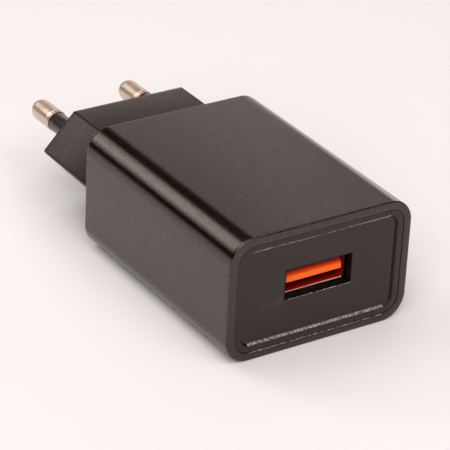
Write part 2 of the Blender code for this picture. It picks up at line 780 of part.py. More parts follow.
def make_transformer_bobbin():
    """A flanged tube round the centre legs, standing on two rails that hold the pins."""
    inner = rounded_rect(CORE_CENTRE_LEG + 2 * GAP, CORE_HEIGHT + 2 * GAP, BOBBIN_HOLE_RADIUS)
    tube_wall = 2 * (GAP + BOBBIN_WALL)
    tube = rounded_rect(CORE_CENTRE_LEG + tube_wall, CORE_HEIGHT + tube_wall, BOBBIN_WALL)
    flange_width = CORE_WIDTH - 2 * CORE_OUTER_LEG - 2 * GAP
    flange = rounded_rect(flange_width, BOBBIN_HEIGHT, BOBBIN_WALL)
    end = CORE_LENGTH / 2 - CORE_BACK - GAP
    shoulder = end - BOBBIN_FLANGE
    rings = [
        lengthwise(flange, -end),
        lengthwise(flange, -shoulder),
        lengthwise(tube, -shoulder),
        lengthwise(tube, shoulder),
        lengthwise(flange, shoulder),
        lengthwise(flange, end),
        lengthwise(inner, end),
        lengthwise(inner, -end),
    ]
    place = (0, TRANSFORMER_Y, TRANSFORMER_Z)
    bobbin = loft("transformer_bobbin", rings, bobbin_plastic(), place, around=True)
    middle = TRANSFORMER_Y
    half_rail = BOBBIN_RAIL_WIDTH / 2
    rail_top = PART_BASE + BOBBIN_RAIL_HEIGHT + BOBBIN_WALL
    near = shoulder + BOBBIN_RAIL_INSET
    far = near + BOBBIN_RAIL_LENGTH
    spans = ((middle - far, middle - near), (middle + near, middle + far))
    rails = [((-half_rail, low, PART_BASE), (half_rail, high, rail_top)) for low, high in spans]
    join(bobbin, boxes("bobbin_rails", rails, bobbin_plastic()))
    holes = posts(
        "bobbin_pin_holes",
        transformer_pin_places(),
        TRANSFORMER_PIN_RADIUS + GAP,
        PART_BASE - PAST,
        PART_BASE + TRANSFORMER_PIN_BITE + GAP,
        bobbin_plastic(),
    )
    return cut(bobbin, holes)


def make_transformer_winding():
    """The copper wound on the bobbin's tube."""
    start = 2 * (2 * GAP + BOBBIN_WALL)
    grown = start + 2 * WINDING_THICKNESS
    inner = rounded_rect(CORE_CENTRE_LEG + start, CORE_HEIGHT + start, BOBBIN_WALL)
    outer = rounded_rect(CORE_CENTRE_LEG + grown, CORE_HEIGHT + grown, BOBBIN_WALL + WINDING_THICKNESS)
    end = CORE_LENGTH / 2 - CORE_BACK - 2 * GAP - BOBBIN_FLANGE
    rings = [
        lengthwise(outer, -end),
        lengthwise(outer, end),
        lengthwise(inner, end),
        lengthwise(inner, -end),
    ]
    place = (0, TRANSFORMER_Y, TRANSFORMER_Z)
    return loft("transformer_winding", rings, copper_wire(), place, around=True)


def make_transformer_tape():
    """The band of tape that holds the two core halves together."""
    inner = rounded_rect(CORE_WIDTH + 2 * GAP, CORE_LENGTH + 2 * GAP, 2 * GAP)
    grown = 2 * (GAP + TAPE_THICKNESS)
    outer = rounded_rect(CORE_WIDTH + grown, CORE_LENGTH + grown, 2 * GAP + TAPE_THICKNESS)
    rings = [
        level(outer, -TAPE_WIDTH / 2),
        level(outer, TAPE_WIDTH / 2),
        level(inner, TAPE_WIDTH / 2),
        level(inner, -TAPE_WIDTH / 2),
    ]
    place = (0, TRANSFORMER_Y, TRANSFORMER_Z)
    return loft("transformer_tape", rings, tape_film(), place, around=True)


def make_transformer_pins():
    for number, (x, y) in enumerate(transformer_pin_places(), 1):
        top = PART_BASE + TRANSFORMER_PIN_BITE
        outline = circle(TRANSFORMER_PIN_RADIUS, LEAD_STEPS)
        plate(f"transformer_pin_{number}", outline, LEAD_BOTTOM, top, tinned_metal(), (x, y, 0))


# Parts on the board.


def side_x(half_width):
    """How far out from the middle a part of this half width stands at the board's side."""
    return BOARD_HALF - SIDE_MARGIN - half_width


def add_leads(obj, places, finish):
    """Round leads from a part's underside, through the board."""
    return join(
        obj, posts(f"{obj.name}_leads", places, LEAD_RADIUS, LEAD_BOTTOM, PART_BASE + LEAD_BITE, finish)
    )


def make_can(name, radius, height, side, y):
    """An upright electrolytic capacitor with the usual crimp groove near its base."""
    x = side * side_x(radius)
    stations = (
        (radius - CAN_BEVEL, 0),
        (radius, CAN_BEVEL),
        (radius, CAN_CRIMP - CAN_GROOVE),
        (radius - CAN_GROOVE, CAN_CRIMP),
        (radius, CAN_CRIMP + CAN_GROOVE),
        (radius, height - CAN_BEVEL),
        (radius - CAN_BEVEL, height),
    )
    rings = [level(circle(size), z) for size, z in stations]
    can = loft(name, rings, can_sleeve(), (x, y, PART_BASE))
    half = radius * CAN_LEAD_SHARE
    lead_places[name] = [(x - half, y), (x + half, y)]
    return add_leads(can, lead_places[name], can_sleeve())


def make_disc_capacitor():
    """The blue safety capacitor, standing on edge."""
    x, y = -side_x(DISC_THICKNESS / 2), FRONT + DISC_DEPTH
    half = DISC_THICKNESS / 2
    stations = (
        (DISC_RADIUS - DISC_BEVEL, -half),
        (DISC_RADIUS, -half + DISC_BEVEL),
        (DISC_RADIUS, half - DISC_BEVEL),
        (DISC_RADIUS - DISC_BEVEL, half),
    )
    rings = [[(across, p, q) for p, q in circle(radius)] for radius, across in stations]
    disc = loft("safety_capacitor", rings, disc_ceramic(), (x, y, PART_BASE + DISC_RADIUS))
    half_leads = DISC_LEAD_SPACING / 2
    lead_places["safety_capacitor"] = [(x, y - half_leads), (x, y + half_leads)]
    # The disc curves up from its lowest point, so these leads reach higher into it.
    reach = DISC_RADIUS - math.sqrt(DISC_RADIUS**2 - half_leads**2) + LEAD_BITE
    leads = posts(
        "safety_capacitor_leads",
        lead_places["safety_capacitor"],
        LEAD_RADIUS,
        LEAD_BOTTOM,
        PART_BASE + reach,
        disc_ceramic(),
    )
    return join(disc, leads)


def make_optocoupler():
    width, length, height = OPTOCOUPLER_SIZE
    x, y = side_x(width / 2), FRONT + OPTOCOUPLER_DEPTH
    low = (x - width / 2, y - length / 2, PART_BASE)
    high = (x + width / 2, y + length / 2, PART_BASE + height)
    body = block("optocoupler", low, high, chip_plastic(), CHIP_BEVEL)
    across = width / 2 - 2 * LEAD_RADIUS
    along = length / 4
    lead_places["optocoupler"] = [(x + i * across, y + j * along) for i in (-1, 1) for j in (-1, 1)]
    return add_leads(body, lead_places["optocoupler"], chip_plastic())


def make_bridge_rectifier():
    width, length, height = BRIDGE_SIZE
    y = BOARD_REAR - BRIDGE_SETBACK
    low = (-width / 2, y - length / 2, PART_BASE)
    high = (width / 2, y + length / 2, PART_BASE + height)
    return block("bridge_rectifier", low, high, chip_plastic(), CHIP_BEVEL)


def make_filter_inductor():
    """A ferrite drum with a copper winding in its waist."""
    x, y = INDUCTOR_OFFSET, REAR_ROW_Y
    waist_low = INDUCTOR_FLANGE
    waist_high = INDUCTOR_HEIGHT - INDUCTOR_FLANGE
    stations = (
        (INDUCTOR_RADIUS, 0),
        (INDUCTOR_RADIUS, waist_low),
        (INDUCTOR_WAIST, waist_low),
        (INDUCTOR_WAIST, waist_high),
        (INDUCTOR_RADIUS, waist_high),
        (INDUCTOR_RADIUS, INDUCTOR_HEIGHT),
    )
    rings = [level(circle(radius), z) for radius, z in stations]
    drum = loft("filter_inductor_core", rings, ferrite(), (x, y, PART_BASE))
    half = INDUCTOR_LEAD_SPACING / 2
    lead_places["filter_inductor_core"] = [(x - half, y), (x + half, y)]
    add_leads(drum, lead_places["filter_inductor_core"], ferrite())
    inner = INDUCTOR_WAIST + GAP
    outer = INDUCTOR_RADIUS - GAP / 2
    stations = (
        (outer, waist_low + GAP),
        (outer, waist_high - GAP),
        (inner, waist_high - GAP),
        (inner, waist_low + GAP),
    )
    rings = [level(circle(radius), z) for radius, z in stations]
    loft("filter_inductor_winding", rings, copper_wire(), (x, y, PART_BASE), around=True)


def make_fuse_resistor():
    x, y = FUSE_OFFSET, REAR_ROW_Y
    stations = (
        (FUSE_RADIUS - FUSE_SHOULDER, 0),
        (FUSE_RADIUS, FUSE_SHOULDER),
        (FUSE_RADIUS, FUSE_HEIGHT - FUSE_SHOULDER),
        (FUSE_RADIUS - FUSE_SHOULDER, FUSE_HEIGHT),
    )
    rings = [level(circle(radius), z) for radius, z in stations]
    fuse = loft("fuse_resistor", rings, fuse_coat(), (x, y, PART_BASE))
    lead_places["fuse_resistor"] = [(x, y)]
    return add_leads(fuse, lead_places["fuse_resistor"], fuse_coat())


def bottom_parts():
    """Surface-mounted parts under the board: name, (x, y) of the middle, size and finish."""
    rectifier_y = RECEPTACLE_FRONT + RECTIFIER_DEPTH
    diode_place = (side_x(DIODE_SIZE[0] / 2), TRANSFORMER_Y + DIODE_BACKSET)
    parts = [
        ("controller_chip", (CONTROLLER_OFFSET, REAR_ROW_Y), CHIP_SIZE, chip_plastic()),
        ("rectifier_chip", (0.0, rectifier_y), CHIP_SIZE, chip_plastic()),
        ("snubber_diode", diode_place, DIODE_SIZE, chip_plastic()),
    ]
    for number, step in enumerate(CHIP_RESISTOR_STEPS, 1):
        place = (CHIP_RESISTOR_OFFSET, TRANSFORMER_Y + step)
        parts.append((f"chip_resistor_{number}", place, CHIP_RESISTOR_SIZE, chip_plastic()))
    for number, offset in enumerate(CHIP_CAPACITOR_OFFSETS, 1):
        place = (offset, TRANSFORMER_Y - CHIP_CAPACITOR_ADVANCE)
        parts.append((f"chip_capacitor_{number}", place, CHIP_CAPACITOR_SIZE, chip_ceramic()))
    return parts


def make_bottom_parts():
    for name, (x, y), (width, length, height), finish in bottom_parts():
        top = BOARD_BOTTOM - GAP
        low = (x - width / 2, y - length / 2, top - height)
        high = (x + width / 2, y + length / 2, top)
        block(name, low, high, finish, SMALL_PART_BEVEL)


def make_main_board():
    """The circuit board, with a hole or slot for everything that passes through it."""
    board = block(
        "main_board",
        (-BOARD_HALF, BOARD_FRONT, BOARD_BOTTOM),
        (BOARD_HALF, BOARD_REAR, BOARD_TOP),
        board_laminate(),
    )
    slots = shell_leg_corners(GAP) + contact_slot_corners()
    cut(board, boxes("board_slots", slots, board_laminate()))
    low, high = BOARD_BOTTOM - PAST, BOARD_TOP + PAST
    places = [place for spots in lead_places.values() for place in spots]
    cut(board, posts("lead_holes", places, LEAD_RADIUS + GAP, low, high, board_laminate()))
    radius = TRANSFORMER_PIN_RADIUS + GAP
    pin_holes = posts("pin_holes", transformer_pin_places(), radius, low, high, board_laminate())
    return cut(board, pin_holes)


def make_insulation():
    """A film under the board and a wall between the mains side and the USB side."""
    half_sheet = BOARD_HALF - SHEET_MARGIN
    low_z = WALL + SHEET_LIFT
    block(
        "insulation_sheet",
        (-half_sheet, BOARD_FRONT + SHEET_MARGIN, low_z),
        (half_sheet, BOARD_REAR - SHEET_MARGIN, low_z + SHEET_THICKNESS),
        insulation_film(),
    )
    # It stops short of the shell's round corners.
    half_barrier = BODY_WIDTH / 2 - BODY_RADIUS
    block(
        "insulation_barrier",
        (-half_barrier, BARRIER_Y - BARRIER_THICKNESS / 2, PART_BASE),
        (half_barrier, BARRIER_Y + BARRIER_THICKNESS / 2, BODY_HEIGHT - WALL - BARRIER_TOP_GAP),
        insulation_film(),
    )


def clear_scene():
    for obj in list(bpy.data.objects):
        bpy.data.objects.remove(obj, do_unlink=True)


# Where each part's leads go through the board, filled in as the parts are made.
lead_places = {}


def main():
    clear_scene()
    make_body_shell()
    make_front_cap()
    make_plug_head()
    for side, x in PIN_XS.items():
        make_pin(side, x)
        make_pin_sleeve(side, x)
        make_pin_terminal(side, x)
    make_usb_shell()
    make_usb_insulator()
    for index, x in enumerate(CONTACT_OFFSETS):
        make_usb_contact(index, x)
    make_transformer_core("transformer_core_front", 1)
    make_transformer_core("transformer_core_rear", -1)
    make_transformer_bobbin()
    make_transformer_winding()
    make_transformer_tape()
    make_transformer_pins()
    output_size = (OUTPUT_CAPACITOR_RADIUS, OUTPUT_CAPACITOR_HEIGHT)
    input_size = (INPUT_CAPACITOR_RADIUS, INPUT_CAPACITOR_HEIGHT)
    for number, side in enumerate((-1, 1), 1):
        make_can(f"output_capacitor_{number}", *output_size, side, FRONT + OUTPUT_CAPACITOR_DEPTH)
        make_can(f"input_capacitor_{number}", *input_size, side, BOARD_REAR - INPUT_CAPACITOR_SETBACK)
    supply_size = (SUPPLY_CAPACITOR_RADIUS, SUPPLY_CAPACITOR_HEIGHT)
    make_can("supply_capacitor", *supply_size, -1, BOARD_REAR - SUPPLY_CAPACITOR_SETBACK)
    make_disc_capacitor()
    make_optocoupler()
    make_bridge_rectifier()
    make_filter_inductor()
    make_fuse_resistor()
    make_bottom_parts()
    make_main_board()
    make_insulation()


main()
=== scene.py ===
"""The looks of a compact USB wall charger: its outer pieces, built again finely, and every material.

Metres, in the frame of the CAD model: +Z up, USB port at -Y, pins towards +Y. Most places come from
the CAD boxes.
"""

import json
import math

import bmesh
import bpy
from mathutils import Matrix, Vector


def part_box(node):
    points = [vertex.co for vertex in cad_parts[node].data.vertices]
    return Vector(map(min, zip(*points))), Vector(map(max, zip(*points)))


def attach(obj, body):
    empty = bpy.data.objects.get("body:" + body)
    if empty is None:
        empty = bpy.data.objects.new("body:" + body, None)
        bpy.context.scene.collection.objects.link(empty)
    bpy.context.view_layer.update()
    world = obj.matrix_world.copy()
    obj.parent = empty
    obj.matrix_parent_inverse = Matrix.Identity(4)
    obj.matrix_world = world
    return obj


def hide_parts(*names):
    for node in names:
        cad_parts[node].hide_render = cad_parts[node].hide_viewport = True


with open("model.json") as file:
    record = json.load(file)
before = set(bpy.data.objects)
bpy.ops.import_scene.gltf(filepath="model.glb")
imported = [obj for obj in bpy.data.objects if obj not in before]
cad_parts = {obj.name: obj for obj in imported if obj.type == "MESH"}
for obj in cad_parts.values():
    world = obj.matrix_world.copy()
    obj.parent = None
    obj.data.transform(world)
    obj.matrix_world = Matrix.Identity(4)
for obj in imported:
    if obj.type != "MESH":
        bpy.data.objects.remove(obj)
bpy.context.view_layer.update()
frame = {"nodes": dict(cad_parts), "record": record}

MM = 0.001

# Shape of the casing and the cap. Most sizes are the CAD model's. Those of the cap's band and step, the port's
# corners, the rear wall and the hole in it differ, by 0.05 to 1.4 mm.
CASING_RADIUS = 4.6 * MM
WALL = 1.5 * MM
RIM_ROUNDING = 0.22 * MM
REAR_ROUNDING = 0.1 * MM
SEAM = 0.03 * MM
EDGE = 0.08 * MM
EDGE_STEPS = 3
# The cap sits this far behind the casing's rim.
CAP_SETBACK = 0.12 * MM
CAP_BAND = 1.2 * MM
CAP_RECESS = 0.5 * MM
CAP_STEP = 0.33 * MM
# Width of the line of dashes above the step's upper side.
DASHED_LINE = 0.16 * MM
CAP_PLATE = 0.9 * MM
CAP_SKIRT = 1.2 * MM
PORT_BOSS_DEPTH = 0.6 * MM
PORT_SIZE = (13.3 * MM, 5.5 * MM)
PORT_RISE = 0.6 * MM
PORT_RADIUS = 0.2 * MM
PORT_BOSS = 1.6 * MM
SPIGOT_OPENING = (26.0 * MM, 8.0 * MM)
SPIGOT_OPENING_RADIUS = 1.5 * MM
# How rubbed the edges are, from 0 to 1.
RIM_WEAR = 0.6
INNER_RIM_WEAR = 0.3
HEAD_WEAR = 0.7

# The flecks stop where the outline starts to turn.
FLECKED_REACH = 13.7 * MM

HEAD_FLAT = 22.8 * MM
HEAD_WIDTH = 35.3 * MM
HEAD_ROUNDING = 0.25 * MM
HEAD_CORNER = 0.5 * MM
CORNER_FACETS = 8
HEAD_ROOT_EDGE = 0.12 * MM
# The head stands this far off the casing's rear wall.
HEAD_GAP = 0.02 * MM

PIN_RADIUS = 2.0 * MM
SLEEVE_RADIUS = 1.88 * MM
SLEEVE_ROOT = 1.0 * MM
SLEEVE_EDGE = 0.12 * MM
# The pin's thinner core inside the sleeve, and the sleeve's bore round it, as shares of the pin's radius.
CORE_SHARE = 0.6
BORE_SHARE = 0.62
PIN_EDGE = 0.1 * MM
PIN_GAP = 0.02 * MM
GROOVE = 0.12 * MM
COLLAR_LENGTH = 0.75 * MM
NOSE_LENGTH = 1.9 * MM
NOSE_STEPS = 13
NOSE_TIP = 0.04 * MM

SHEET_METAL = 0.3 * MM
RECEPTACLE = (12.5 * MM, 5.12 * MM)
RECEPTACLE_RADIUS = 0.4 * MM
RECEPTACLE_RISE = 0.2 * MM
ROLL_STEPS = 6
SPRING_WIDTH = 1.9 * MM
SPRING_THICKNESS = 0.22 * MM
SPRING_START = 3.2 * MM
SPRING_LENGTH = 5.0 * MM
SPRING_BOW = 0.42 * MM
SPRING_ASIDE = 2.9 * MM
SPRING_GAP = 0.02 * MM
SPRING_STEPS = 14
TONGUE_WIDTH = 11.1 * MM
TONGUE_THICKNESS = 2.25 * MM
TONGUE_DROP = 0.95 * MM
# The tongue leans back above this height.
TONGUE_FACE = 0.95 * MM
TONGUE_LEAN = 0.75 * MM
TONGUE_STEPS = 8
TONGUE_CHAMFER = 0.12 * MM
INSULATOR_BLOCK = 5.0 * MM
BLOCK_SIZE = (11.9 * MM, 4.5 * MM)
BLOCK_RADIUS = 0.3 * MM
TONGUE_ROOT = 0.5 * MM

CORNER_STEPS = 20
ROUND_STEPS = 64
ARC_STEPS = 4

shell_low, shell_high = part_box("body_shell")
cap_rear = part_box("front_cap")[1].y
head_low, head_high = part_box("plug_head")
tube_low, tube_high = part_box("usb_shell")
moulding_low, moulding_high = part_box("usb_insulator")
WIDTH = shell_high.x - shell_low.x
HEIGHT = shell_high.z - shell_low.z
FRONT = shell_low.y
REAR = shell_high.y
MIDDLE = HEIGHT / 2
PORT_Z = MIDDLE + PORT_RISE
RECEPTACLE_Z = PORT_Z + RECEPTACLE_RISE


# Camera, light and floor.

CAMERA_AZIMUTH = -34.01
CAMERA_ELEVATION = 28.05
CAMERA_ROLL = 2.96
CAMERA_DISTANCE = 0.42294
CAMERA_LENS = 197.3
CAMERA_AIM = Vector((-3.91 * MM, FRONT + 23.2 * MM, 12.0 * MM))


def direction(azimuth, elevation):
    """Unit vector out to a compass place: azimuth 0 is behind the charger at +Y, positive to +X."""
    turn, rise = math.radians(azimuth), math.radians(elevation)
    return Vector((math.sin(turn) * math.cos(rise), math.cos(turn) * math.cos(rise), math.sin(rise)))


def make_camera():
    """The camera. Its azimuth is counted from the charger's front, and a light's from behind it."""
    data = bpy.data.cameras.new("camera")
    data.sensor_width = 36.0
    data.lens = CAMERA_LENS
    data.clip_start = 0.01
    data.clip_end = 50.0
    camera = bpy.data.objects.new("camera", data)
    back = direction(180 - CAMERA_AZIMUTH, CAMERA_ELEVATION)
    side = Vector((0, 0, 1)).cross(back).normalized()
    up = back.cross(side)
    roll = math.radians(CAMERA_ROLL)
    rolled_side = math.cos(roll) * side + math.sin(roll) * up
    rolled_up = math.cos(roll) * up - math.sin(roll) * side
    turn = Matrix((rolled_side, rolled_up, back)).transposed()
    camera.matrix_world = Matrix.Translation(CAMERA_AIM + back * CAMERA_DISTANCE) @ turn.to_4x4()
    bpy.context.scene.collection.objects.link(camera)
    bpy.context.scene.camera = camera


def area_light(name, colour, azimuth, elevation, distance, size, roll, radiance):
    """A soft box of this size and brightness, aimed at the charger and turned by roll about its aim."""
    data = bpy.data.lights.new(name, "AREA")
    data.shape = "RECTANGLE"
    data.size, data.size_y = size
    data.energy = radiance * math.pi * size[0] * size[1]
    data.color = colour
    light = bpy.data.objects.new(name, data)
    out = direction(azimuth, elevation)
    aimed = out.to_track_quat("Z", "Y").to_matrix().to_4x4()
    rolled = aimed @ Matrix.Rotation(math.radians(roll), 4, "Z")
    light.matrix_world = Matrix.Translation(out * distance) @ rolled
    light.visible_camera = False
    bpy.context.scene.collection.objects.link(light)


WARM = (1.0, 0.9, 0.85)
COOL = (0.92, 1.0, 1.06)
PINK = (1.0, 0.88, 0.86)
CARD_TONE = (1.0, 0.87, 0.84)
STRIP_TONE = (1.0, 0.99, 0.9)
# Each light: name, colour, azimuth, elevation, distance, size, roll and brightness. The back cards show
# in the top face, the strips make the long highlight on the casing's edge, and the rest light the floor.
LIGHTS = (
    ("back_card", CARD_TONE, 31, 12, 1.1, (0.34, 0.76), 0, 0.62),
    ("back_card_wide", CARD_TONE, 40, 12, 1.1, (1.7, 0.78), 15, 0.2),
    ("back_card_foot", CARD_TONE, 38, 5, 1.1, (1.5, 0.45), 15, 0.6),
    ("back_card_top", CARD_TONE, 41, 35, 1.1, (0.2, 0.12), 0, 1.2),
    ("rear_right", COOL, 56, 14, 1.1, (0.4, 0.74), 0, 1.2),
    ("strip_core", STRIP_TONE, -28.5, 33.6, 1.0, (0.36, 0.24), -44, 2.8),
    ("strip", STRIP_TONE, -28.5, 33.6, 1.0, (0.62, 0.24), -44, 1.1),
    ("strip_end", STRIP_TONE, -36, 26, 1.0, (0.34, 0.24), -44, 1.0),
    ("front_high", WARM, 183, 50, 1.2, (0.95, 0.9), 0, 2.6),
    ("front_left", WARM, 225, 32, 1.2, (0.8, 0.6), 0, 4.3),
    ("left_high", PINK, 315, 62, 1.2, (0.9, 0.9), 0, 1.3),
    ("overhead", WARM, 0, 88, 1.3, (2.0, 2.0), 0, 0.7),
)
WORLD_TONE = (1.0, 0.97, 0.95, 1.0)
WORLD_STRENGTH = 0.004
FLOOR_RADIUS = 6.0
FLOOR_GAP = 0.01 * MM


def make_lights():
    for light in LIGHTS:
        area_light(*light)
    world = bpy.data.worlds.new("studio")
    world.use_nodes = True
    background = world.node_tree.nodes["Background"]
    background.inputs["Color"].default_value = WORLD_TONE
    background.inputs["Strength"].default_value = WORLD_STRENGTH
    bpy.context.scene.world = world
    bpy.context.scene.view_settings.view_transform = "Standard"


def make_floor():
    bm = bmesh.new()
    bmesh.ops.create_circle(bm, cap_ends=True, radius=FLOOR_RADIUS, segments=96)
    bmesh.ops.translate(bm, vec=(0, 0, -FLOOR_GAP), verts=bm.verts)
    mesh = bpy.data.meshes.new("floor")
    bm.to_mesh(mesh)
    bm.free()
    mesh.materials.append(paper_material())
    floor = bpy.data.objects.new("floor", mesh)
    bpy.context.scene.collection.objects.link(floor)


# Material building blocks. Coordinates are the object's own, in metres.


# The black plastics' refraction and gloss are chosen for their look under these lights.
PLASTIC_IOR = 1.65
WARM_GLOSS = (1.0, 0.82, 0.8, 1.0)
SHEEN_GRAIN = 0.3 * MM
WORN_TONE = (0.05, 0.045, 0.045)
FLECK_GROUND = (0.006, 0.005, 0.005)
# Pale flecks of the rough edges, partly a painted highlight.
FLECK_HIGHLIGHT_TONE = (0.55, 0.49, 0.46)
FLECK_SIZE = 0.2 * MM
# The fan of scuffs: where it opens, how strong it is, and how fine its strokes are round it and along it.
SCUFF_CENTRE = (-6.0 * MM, 11.4 * MM)
SCUFF_STRENGTH = 0.85
SCUFF_STROKES = (16.0, 250.0)
# It fades in and out over these distances from there, and over these angles in radians.
SCUFF_REACH = ((0.8 * MM, 2.0 * MM), (6.8 * MM, 3.6 * MM))
SCUFF_TURN = ((-3.12, -2.9), (-1.95, -2.3))
# How far into the receptacle its inside turns from a painted reflection, red, to painted shade, black.
TUBE_FADE = (0.3 * MM, 2.4 * MM)


class Nodes:
    """Short names for adding and linking shader nodes in one material."""

    def __init__(self, name):
        self.material = bpy.data.materials.new(name)
        self.material.use_nodes = True
        self.tree = self.material.node_tree
        self.shader = self.tree.nodes["Principled BSDF"]
        self.place = self.tree.nodes.new("ShaderNodeTexCoord").outputs["Object"]

    def set(self, **values):
        """Sets sockets of the shader: roughness=0.3 sets Roughness."""
        names = {
            "metallic": "Metallic",
            "roughness": "Roughness",
            "ior": "IOR",
            "coat": "Coat Weight",
            "coat_roughness": "Coat Roughness",
            "anisotropic": "Anisotropic",
        }
        for key, value in values.items():
            self.shader.inputs[names[key]].default_value = value

    def link(self, output, socket):
        self.tree.links.new(output, self.shader.inputs[socket])

    def stretched(self, scale):
        mapping = self.tree.nodes.new("ShaderNodeMapping")
        mapping.inputs["Scale"].default_value = scale
        self.tree.links.new(self.place, mapping.inputs["Vector"])
        return mapping.outputs["Vector"]

    def noise(self, size, detail=2.0, roughness=0.5, vector=None):
        """Noise whose blotches are about this size, in metres."""
        node = self.tree.nodes.new("ShaderNodeTexNoise")
        node.inputs["Scale"].default_value = 1.0 / size
        node.inputs["Detail"].default_value = detail
        node.inputs["Roughness"].default_value = roughness
        self.tree.links.new(vector or self.place, node.inputs["Vector"])
        return node.outputs["Fac"]

    def along(self, axis):
        """The place along one axis: X, Y or Z."""
        node = self.tree.nodes.new("ShaderNodeSeparateXYZ")
        self.tree.links.new(self.place, node.inputs["Vector"])
        return node.outputs[axis]

    def spread(self, value, low, high, to_low, to_high):
        """Maps a value's range onto another one, clamped."""
        node = self.tree.nodes.new("ShaderNodeMapRange")
        self.tree.links.new(value, node.inputs["Value"])
        for socket, number in (
            ("From Min", low),
            ("From Max", high),
            ("To Min", to_low),
            ("To Max", to_high),
        ):
            node.inputs[socket].default_value = number
        return node.outputs["Result"]

    def uneven(self, noise, to_low, to_high):
        """Maps the middle of a noise's range, where most of it lies, onto another range."""
        return self.spread(noise, 0.3, 0.7, to_low, to_high)

    def math(self, operation, one, other):
        node = self.tree.nodes.new("ShaderNodeMath")
        node.operation = operation
        for index, value in enumerate((one, other)):
            if isinstance(value, (int, float)):
                node.inputs[index].default_value = value
            else:
                self.tree.links.new(value, node.inputs[index])
        return node.outputs["Value"]

    def blend(self, factor, one, other):
        """Mixes two colours, each a tuple or an output."""
        node = self.tree.nodes.new("ShaderNodeMix")
        node.data_type = "RGBA"
        self.tree.links.new(factor, node.inputs["Factor"])
        for socket, value in ((node.inputs[6], one), (node.inputs[7], other)):
            if isinstance(value, tuple):
                socket.default_value = (*value, 1.0)
            else:
                self.tree.links.new(value, socket)
        return node.outputs[2]

    def attribute(self, name):
        node = self.tree.nodes.new("ShaderNodeAttribute")
        node.attribute_name = name
        return node.outputs["Fac"]

    def bump(self, height, distance, over=None):
        """Adds relief of this depth, in metres, on top of any earlier relief."""
        node = self.tree.nodes.new("ShaderNodeBump")
        node.inputs["Distance"].default_value = distance
        node.inputs["Strength"].default_value = 1.0
        self.tree.links.new(height, node.inputs["Height"])
        if over is not None:
            self.tree.links.new(over, node.inputs["Normal"])
        return node.outputs["Normal"]


def paper_material():
    made = Nodes("backdrop_paper")
    made.set(roughness=0.95)
    tone = made.noise(0.25, 1.0)
    made.link(made.blend(tone, (0.864, 0.889, 0.916), (0.87, 0.895, 0.922)), "Base Color")
    made.shader.inputs["Specular IOR Level"].default_value = 0.1
    return made.material


def black_plastic(
    name, dark, light, roughness, grain, relief, ior=PLASTIC_IOR, sparkle=0.17, marks=None
):
    """Moulded black plastic: fine grain, faint cloudiness, and paler edges where wear is painted.

    sparkle is how much the gloss varies from grain to grain, and marks adds rubbing of its own.
    """
    made = Nodes(name)
    made.set(ior=ior)
    made.shader.inputs["Specular Tint"].default_value = WARM_GLOSS
    cloud = made.noise(9 * MM, 3.0)
    speck = made.noise(grain, 2.0, 0.6)
    base = made.blend(cloud, dark, light)
    blotches = made.spread(made.noise(0.5 * MM, 3.0, 0.7), 0.48, 0.68, 0, 1)
    rubbed = made.math("MULTIPLY", made.attribute("wear_and_shade"), blotches)
    if marks:
        rubbed = made.math("ADD", rubbed, made.math("MULTIPLY", marks(made), SCUFF_STRENGTH))
    made.link(made.blend(rubbed, base, WORN_TONE), "Base Color")
    rough = made.uneven(speck, roughness - 0.03, roughness + 0.04)
    rough = made.math("ADD", rough, made.uneven(cloud, -0.01, 0.015))
    made.link(made.math("ADD", rough, made.math("MULTIPLY", rubbed, 0.1)), "Roughness")
    sheen = made.noise(SHEEN_GRAIN, 2.0, 0.7)
    made.link(made.uneven(sheen, 0.5 - sparkle, 0.5 + sparkle), "Specular IOR Level")
    fine = made.bump(speck, relief)
    coarse = made.noise(grain * 2.2, 2.0)
    made.link(made.bump(coarse, relief * 0.35, over=fine), "Normal")
    return made.material


def shell_plastic():
    dark, light = (0.0026, 0.0012, 0.0009), (0.0036, 0.0018, 0.0014)
    return black_plastic("shell_plastic", dark, light, 0.14, 0.2 * MM, 0.022 * MM)


def scuffs(made):
    """A faint fan of scuffs below the port's left side, as a share of rubbing."""
    across = made.math("SUBTRACT", made.along("X"), SCUFF_CENTRE[0])
    up = made.math("SUBTRACT", made.along("Z"), SCUFF_CENTRE[1])
    turn = made.math("ARCTAN2", up, across)
    across_squared = made.math("MULTIPLY", across, across)
    up_squared = made.math("MULTIPLY", up, up)
    reach = made.math("SQRT", made.math("ADD", across_squared, up_squared), 0.0)
    polar = made.tree.nodes.new("ShaderNodeCombineXYZ")
    made.tree.links.new(made.math("MULTIPLY", turn, SCUFF_STROKES[0]), polar.inputs["X"])
    made.tree.links.new(made.math("MULTIPLY", reach, SCUFF_STROKES[1]), polar.inputs["Y"])
    strokes = made.spread(made.noise(1.0, 3.0, 0.6, polar.outputs["Vector"]), 0.5, 0.64, 0, 1)
    for value, fades in ((reach, SCUFF_REACH), (turn, SCUFF_TURN)):
        for start, end in fades:
            strokes = made.math("MULTIPLY", strokes, made.spread(value, start, end, 0, 1))
    return strokes


def cap_plastic():
    dark, light = (0.002, 0.0016, 0.0016), (0.003, 0.0024, 0.0024)
    return black_plastic("cap_plastic", dark, light, 0.2, 0.14 * MM, 0.003 * MM, 1.54, 0.05, scuffs)


def flecked_plastic(name, pale_from, pale_to, stretch, bare_middle=False):
    """A moulded edge left rough, with pale flecks: partly its roughness, partly a painted highlight where the
    edge catches the light.

    stretch makes the flecks long across the cap, and bare_middle leaves few of them in the middle of it.
    """
    made = Nodes(name)
    made.set(ior=1.5)
    flecks = made.noise(FLECK_SIZE, 4.0, 0.8, made.stretched((stretch, 1.0, 1.0)))
    pale = made.spread(flecks, pale_from, pale_to, 0, 1)
    if bare_middle:
        aside = made.math("ABSOLUTE", made.along("X"), 0.0)
        pale = made.math("MULTIPLY", pale, made.spread(aside, 3 * MM, 7 * MM, 0.15, 1))
    made.link(made.blend(pale, FLECK_GROUND, FLECK_HIGHLIGHT_TONE), "Base Color")
    made.link(made.uneven(flecks, 0.6, 0.35), "Roughness")
    made.link(made.bump(flecks, 0.05 * MM), "Normal")
    return made.material


